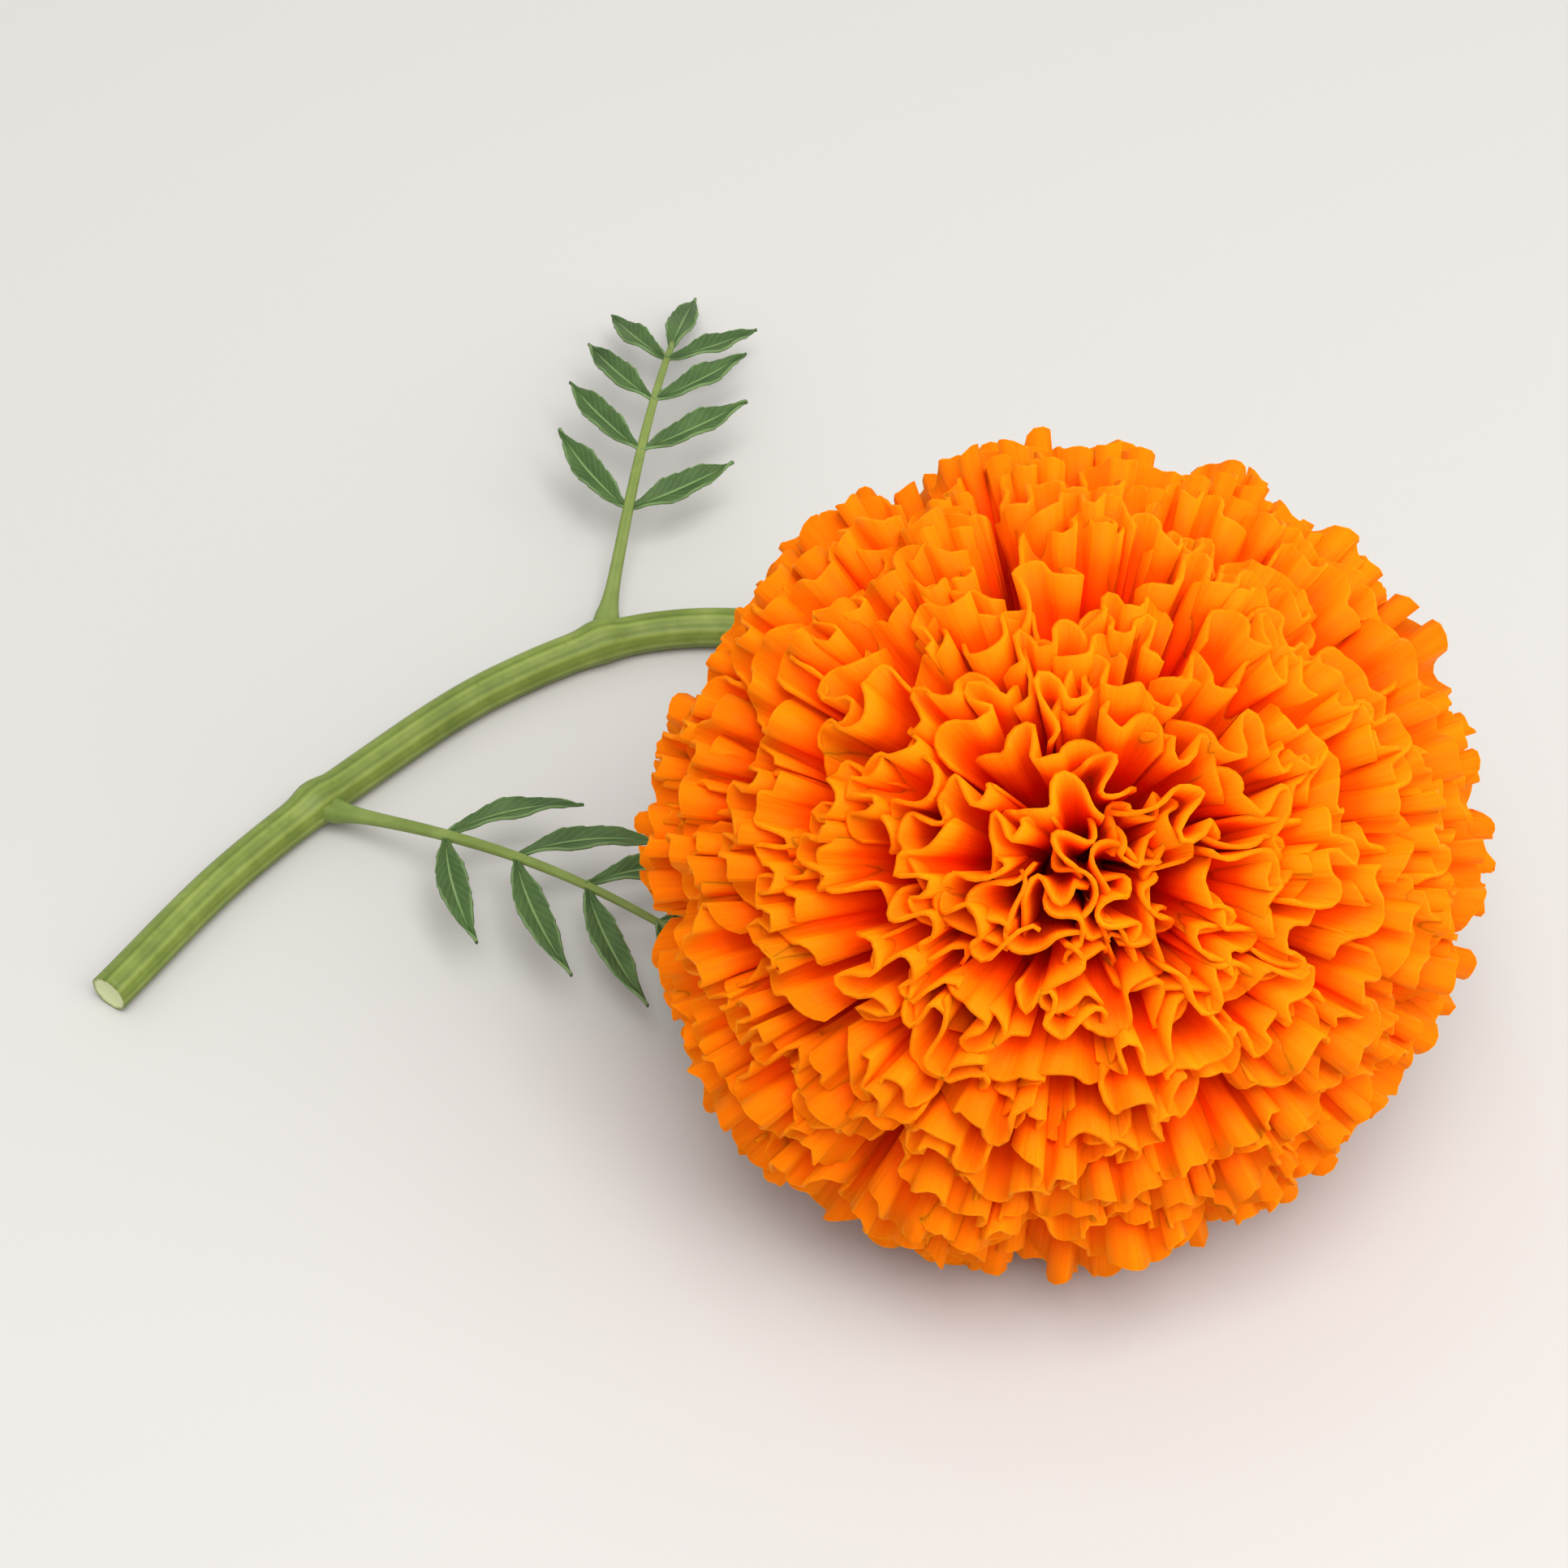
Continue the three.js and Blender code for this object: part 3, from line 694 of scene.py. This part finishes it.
# How far the tips reach, as shares: a hollow at the heart, a bloom not quite round, and small lumps.
HEART_HOLLOW = 0.14
HOLLOW_ANGLE = 18
OVAL = 0.018
TRIANGLE = 0.01
LUMP_HEIGHT = 0.03
LUMP_SIZE = 3.0 * MM
# The middle line. Angles and leans are degrees from the axis. Petals that stand nearer the axis than
# WHOLE_FROM are made without their lower part, which is hidden in the bloom.
ROOT_HEIGHT = 4 * MM
ROOT_CLIMB = 5
ROOT_SLOPE = 0.16
LOWEST_ROOT_ANGLE = 130
HANDLE = 0.42
ROOT_LEAN = 0.5
TIP_OVERHANG = 16
OVERHANG_ANGLE = 50
LARGEST_LEAN = 124
TIP_LEAN_STRAY = 13
TIP_CROWDING = 1.3
WHOLE_FROM = 100
# What changes from the heart, the first value, to the outer rows, the second. Lengths are in millimetres,
# angles in degrees, the curl in radians, and pleats are counted across a petal.
RIPE_ANGLE = 55
HIDDEN_SHARE = (0.36, 0.42)
REACH_STRAY = (0.03, 0.02)
SWAY = (2.5, 2.6)
TWIST = (0, 6)
TWIST_STRAY = (60, 20)
HALF_WIDTH = (4.0, 5.4)
CURL = (1.1, -0.2)
CURL_STRAY = (0.7, 0.5)
PLEATS = (1.4, 1.8)
RUFFLE = (1.8, 2.1)
# The blade. Strays are shares of the value, starts are shares of the petal's length, and the pairs are
# degrees from the axis, between which a petal gets more pleats or a flatter ruffle. ROOT_CURL is the share
# of its curl that a petal has at its root.
WIDTH_STRAY = 0.22
ROOT_HALF_WIDTH = 1.2 * MM
ROOT_CURL = 0.35
FLATTEST_CURL = 0.02
MORE_PLEATS = 0.35
MORE_PLEATS_ANGLES = (38, 68)
PLEAT_STRAY = 0.25
LESS_RUFFLE = 0.3
LESS_RUFFLE_ANGLES = (60, 105)
RUFFLE_START = 0.55
RUFFLE_OVERHANG = 0.25
UNEVEN_PLEATS = 0.12
FRILL = 0.5 * MM
FRILLS_PER_PLEAT = 1.9
TIP_ROUNDING = 3.3 * MM
TIP_LOBES = 0.6 * MM
LOBES_PER_PLEAT = 1.3
TIP_WAVE = 0.3 * MM
TIP_SLANT = 1.2
# Painted highlight: a lighter golden rim on each petal, from this share of its length to the tip.
RIM_HIGHLIGHT_START = 0.84
# Painted shade: the petal colour darkens to deep red by these shares of the distance below the ball of tips
# and of the way back towards a petal's root, where the petals shade each other.
SHADE_BELOW_BALL = 0.6
SHADE_TOWARD_ROOT = 0.7
# Orange darkening to deep red: painted shade in the pockets between the petals.
PETAL_SHADE_COLOURS = [
    (0.0, (1.0, 0.155, 0.0, 1)),
    (0.07, (1.0, 0.11, 0.0, 1)),
    (0.18, (1.0, 0.05, 0.0, 1)),
    (0.33, (0.88, 0.016, 0.0, 1)),
]
# The colour of the painted highlight at the rim.
RIM_HIGHLIGHT_COLOUR = (1.0, 0.215, 0.001, 1)


def grow(values, polar):
    """Goes evenly from the heart's value, at the axis, to the outer rows' value, at the ripe angle."""
    heart, outer = values
    return heart + (outer - heart) * climb(polar, 0, RIPE_ANGLE)


def stray(random, amount, each):
    """Random values, one for each petal, up to the amount either way."""
    return random.uniform(-amount, amount, each.shape)


def petal_places(random, number):
    """Where the petals stand: degrees from the axis and radians round it. The first gives each petal an
    equal share of the ball, but a little less in the heart. The second is a golden angle more for each."""
    share = ((number + 0.5) / FLORETS) ** HEART_CROWDING
    even = np.degrees(np.arccos(1 - (1 - math.cos(math.radians(LAST_PETAL_ANGLE))) * share))
    polar = np.clip(even + stray(random, POLAR_STRAY, number), 1, LAST_PETAL_ANGLE)
    azimuth = np.radians(number * GOLDEN_ANGLE + stray(random, AZIMUTH_STRAY, number))
    return polar, azimuth


def heading(lean):
    """The direction, out and up, that leans so many degrees from the axis."""
    return np.stack([np.sin(np.radians(lean)), np.cos(np.radians(lean))], axis=-1)


def bezier(start, leave, arrive, end, t):
    """Points and unit directions of a cubic Bezier curve: the four points weighted by powers of t and of
    1 - t, and the three steps between them weighted in the same way, one power lower."""
    r = 1 - t
    points = r**3 * start + 3 * t * r**2 * leave + 3 * t**2 * r * arrive + t**3 * end
    ahead = 3 * r**2 * (leave - start) + 6 * t * r * (arrive - leave) + 3 * t**2 * (end - arrive)
    return points, ahead / np.linalg.norm(ahead, axis=-1, keepdims=True)


def petal_lines(random, polar, azimuth):
    """The petals' middle lines. Each is a Bezier curve in the plane through the axis, from its root on the
    base to its tip on the ball, where it leans out further the lower it stands. It also sways to one side.
    Gives the share s of the way at each row, the points, the directions ahead, and the directions to the
    side, which twist about the line."""
    out, height = envelope(polar)
    climbed = np.minimum(ROOT_SLOPE * (LOWEST_ROOT_ANGLE - polar), ROOT_CLIMB)
    root_height = ROOT_HEIGHT + climbed * MM
    root = np.stack([root_radius(polar), root_height], axis=-1)
    x, y = out * np.cos(azimuth), out * np.sin(azimuth)
    unevenness = OVAL * np.sin(2 * azimuth + 0.6) + TRIANGLE * np.sin(3 * azimuth + 2)
    unevenness += LUMP_HEIGHT * np.sin(x / LUMP_SIZE + 1) * np.sin(y / LUMP_SIZE + 2.2)
    hollow = HEART_HOLLOW * np.exp(-((polar / HOLLOW_ANGLE) ** 2))
    reach = 1 - hollow + stray(random, 1, polar) * grow(REACH_STRAY, polar) + unevenness
    tip = root + (np.stack([out, height], axis=-1) - root) * reach[..., None]
    overhang = TIP_OVERHANG * climb(polar, 0, OVERHANG_ANGLE) ** 1.2
    tip_lean = np.minimum(polar + overhang, LARGEST_LEAN) + stray(random, TIP_LEAN_STRAY, polar)
    handle = HANDLE * np.linalg.norm(tip - root, axis=-1, keepdims=True)
    leave = root + handle * heading(ROOT_LEAN * polar)
    arrive = tip - handle * heading(tip_lean)

    row = 1 - (1 - np.linspace(0, 1, PETAL_ROWS)[:, None]) ** TIP_CROWDING
    hidden = grow(HIDDEN_SHARE, polar) * (polar < WHOLE_FROM)
    s = hidden * (1 - row) + row
    flat, ahead = bezier(root, leave, arrive, tip, s[..., None])

    outward = np.stack([np.cos(azimuth), np.sin(azimuth), 0 * azimuth], axis=-1)
    sideways = np.stack([-np.sin(azimuth), np.cos(azimuth), 0 * azimuth], axis=-1)
    upward = np.array([0.0, 0.0, 1.0])
    sway = grow(SWAY, polar) * stray(random, 1, polar) * MM * s**2
    middle = flat[..., :1] * outward + flat[..., 1:] * upward + sway[..., None] * sideways
    forward = ahead[..., :1] * outward + ahead[..., 1:] * upward
    twist = np.radians(grow(TWIST, polar) + stray(random, 1, polar) * grow(TWIST_STRAY, polar)) * s
    twist = twist[..., None]
    side = sideways * np.cos(twist) + np.cross(forward, sideways) * np.sin(twist)
    return s, middle, forward, side


def petal_blades(random, polar, s, v):
    """How far a petal's points lie beside its middle line, above it, and back from its tip, for shares s
    of the length and v of the half width. Beside and above: an arc (the curl), a sine wave that grows
    towards the rim and leans over itself (the ruffle), and a finer one at the very rim (the frill). Back:
    a rounded tip with small lobes, cut a little slantwise."""
    half_width = grow(HALF_WIDTH, polar) * (1 + stray(random, WIDTH_STRAY, polar)) * MM
    width = ROOT_HALF_WIDTH + (half_width - ROOT_HALF_WIDTH) * s**1.7
    curl = grow(CURL, polar) + stray(random, 1, polar) * grow(CURL_STRAY, polar)
    curl = curl * (ROOT_CURL + (1 - ROOT_CURL) * s)
    curl = np.where(np.abs(curl) < FLATTEST_CURL, FLATTEST_CURL, curl)
    pleats = grow(PLEATS, polar) + MORE_PLEATS * climb(polar, *MORE_PLEATS_ANGLES)
    pleats = pleats * (1 + stray(random, PLEAT_STRAY, polar))
    phase = random.uniform(0, 2 * math.pi, polar.shape)
    rise = climb(s, RUFFLE_START, 1)
    ruffle = grow(RUFFLE, polar) - LESS_RUFFLE * climb(polar, *LESS_RUFFLE_ANGLES)
    ruffle = ruffle * (1 + stray(random, PLEAT_STRAY, polar)) * MM * rise**1.6
    turn = math.pi * pleats * (v + UNEVEN_PLEATS * np.sin(math.pi * v + 2 * phase)) + phase
    frill = FRILL * rise**4 * np.sin(FRILLS_PER_PLEAT * turn + 3 * phase)
    beside = width * np.sin(curl * v) / curl - RUFFLE_OVERHANG * ruffle * np.sin(2 * turn)
    above = width * (1 - np.cos(curl * v)) / curl + ruffle * np.sin(turn) + frill
    lobe = random.uniform(0, 2 * math.pi, polar.shape)
    slant = stray(random, TIP_SLANT, polar)
    lobes = TIP_WAVE * np.cos(turn + lobe) - TIP_LOBES * np.abs(np.cos(LOBES_PER_PLEAT * turn + lobe))
    back = (lobes + TIP_ROUNDING * np.abs(v) ** 3 + slant * MM * v) * s**4
    return beside[..., None], above[..., None], back[..., None]


def petals(name, first, last, seed):
    """One piece from the petals of a zone, counted from the heart outward. Arrays are shaped (petals,
    rows, columns), with a 1 where a value is the same for all, and points have one axis more. The lowest
    petals are pressed flat on the surface. The attribute depth is painted shade, growing below the ball of
    tips and towards a petal's root; rim is a painted highlight growing at its rim; and tone is one random
    value for each petal."""
    random = np.random.default_rng(seed)
    polar, azimuth = petal_places(random, np.arange(first, last)[:, None, None])
    s, middle, forward, side = petal_lines(random, polar, azimuth)
    v = np.linspace(-1, 1, PETAL_COLUMNS)
    beside, above, back = petal_blades(random, polar, s, v)
    points = middle + side * beside + np.cross(forward, side) * above - forward * back
    out = np.hypot(points[..., 0], points[..., 1])
    height = points[..., 2] - SHOULDER_LIFT
    ball = np.hypot(out / SHOULDER_RADIUS, height / np.where(height > 0, CROWN_HEIGHT, SKIRT_DEPTH))
    placed = bloom_to_row(points)
    placed[..., 2] = np.maximum(placed[..., 2], FLOOR_CLEARANCE)
    uv = np.stack(np.broadcast_arrays(v / 2 + 0.5, s), axis=-1)
    return sheet_mesh(name, placed, uv, PETAL_THICKNESS, {
        # depth carries the painted shade.
        "depth": SHADE_BELOW_BALL * (1 - ball) + SHADE_TOWARD_ROOT * (1 - s),
        # rim carries the painted highlight.
        "rim": climb(s, RIM_HIGHLIGHT_START, 1) ** 1.2,
        "tone": random.random(polar.shape),
    })


def petal_material():
    """Orange with painted shade, darker and redder deeper in the bloom and towards the roots, and a painted
    highlight in a lighter golden rim, with fine veins along the petal and a slightly different brightness
    for each petal."""
    finish = Finish("petal_orange", roughness=0.6, gloss=0.03)
    let_light_in(finish, share=0.6, reach=(1.0, 0.8, 0.4), scale=0.5 * MM)
    # Painted shade: darker and redder where depth grows.
    colour = finish.ramp(finish.attribute("depth"), PETAL_SHADE_COLOURS)
    # Painted highlight: the rim turns golden.
    colour = finish.toward(colour, finish.attribute("rim"), RIM_HIGHLIGHT_COLOUR)
    stretch = finish.nodes.new("ShaderNodeMapping")
    stretch.inputs["Scale"].default_value = (30, 1.6, 1)
    finish.link(blade_uv(finish), stretch.inputs["Vector"])
    veins = finish.noise(stretch.outputs["Vector"], scale=1.0, detail=3.0)
    tone = finish.between(finish.attribute("tone"), low=0.0, high=1.0, at_low=0.9, at_high=1.06)
    streaks = finish.between(veins, low=0.0, high=1.0, at_low=0.78, at_high=1.18)
    brightness = finish.arithmetic("MULTIPLY", tone, streaks)
    shaded = finish.nodes.new("ShaderNodeHueSaturation")
    finish.link(colour, shaded.inputs["Color"])
    finish.link(brightness, shaded.inputs["Value"])
    finish.paint(shaded.outputs["Color"])
    finish.relief(veins, strength=0.5, depth=0.25 * MM)
    return finish.material


petal_orange = petal_material()
for name, first, last, seed in PETAL_PIECES:
    zone = petals(name, first, last, seed)
    zone.data.materials.append(petal_orange)
    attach(zone, "root")
    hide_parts("bloom")

# ---- The surface and the light ----
# A wide pale matt surface, a large soft lamp above and in front, a weaker one from the right, and an even
# pale surround. The lamps face the flower.
FLOOR_REACH = 3
FLOOR_COLOUR = (0.54, 0.53, 0.51, 1)
# Each lamp: its name, its place and width in metres, and its power in watts.
LAMPS = [
    ("key_light", (0.1, -0.3, 0.86), 0.6, 6.8),
    ("fill_light", (0.6, -0.3, 0.45), 0.6, 2.2),
]
ROOM_COLOUR = (1.0, 0.99, 0.97, 1)
ROOM_BRIGHTNESS = 0.75

floor_mesh = bpy.data.meshes.new("floor")
corners = [(x * FLOOR_REACH, y * FLOOR_REACH, 0) for x, y in ((-1, -1), (1, -1), (1, 1), (-1, 1))]
floor_mesh.from_pydata(corners, [], [(0, 1, 2, 3)])
floor = bpy.data.objects.new("floor", floor_mesh)
bpy.context.scene.collection.objects.link(floor)
floor_paint = bpy.data.materials.new("floor_paint")
floor_paint.use_nodes = True
floor_paint.node_tree.nodes["Principled BSDF"].inputs["Base Color"].default_value = FLOOR_COLOUR
floor_paint.node_tree.nodes["Principled BSDF"].inputs["Roughness"].default_value = 0.7
floor_mesh.materials.append(floor_paint)

for name, place, size, power in LAMPS:
    lamp = bpy.data.lights.new(name, "AREA")
    lamp.size = size
    lamp.energy = power
    light = bpy.data.objects.new(name, lamp)
    light.location = place
    light.rotation_euler = Vector(place).to_track_quat("Z", "Y").to_euler()
    bpy.context.scene.collection.objects.link(light)

world = bpy.data.worlds.new("soft_room")
world.use_nodes = True
world.node_tree.nodes["Background"].inputs["Color"].default_value = ROOM_COLOUR
world.node_tree.nodes["Background"].inputs["Strength"].default_value = ROOM_BRIGHTNESS
bpy.context.scene.world = world
bpy.context.scene.view_settings.view_transform = "Standard"
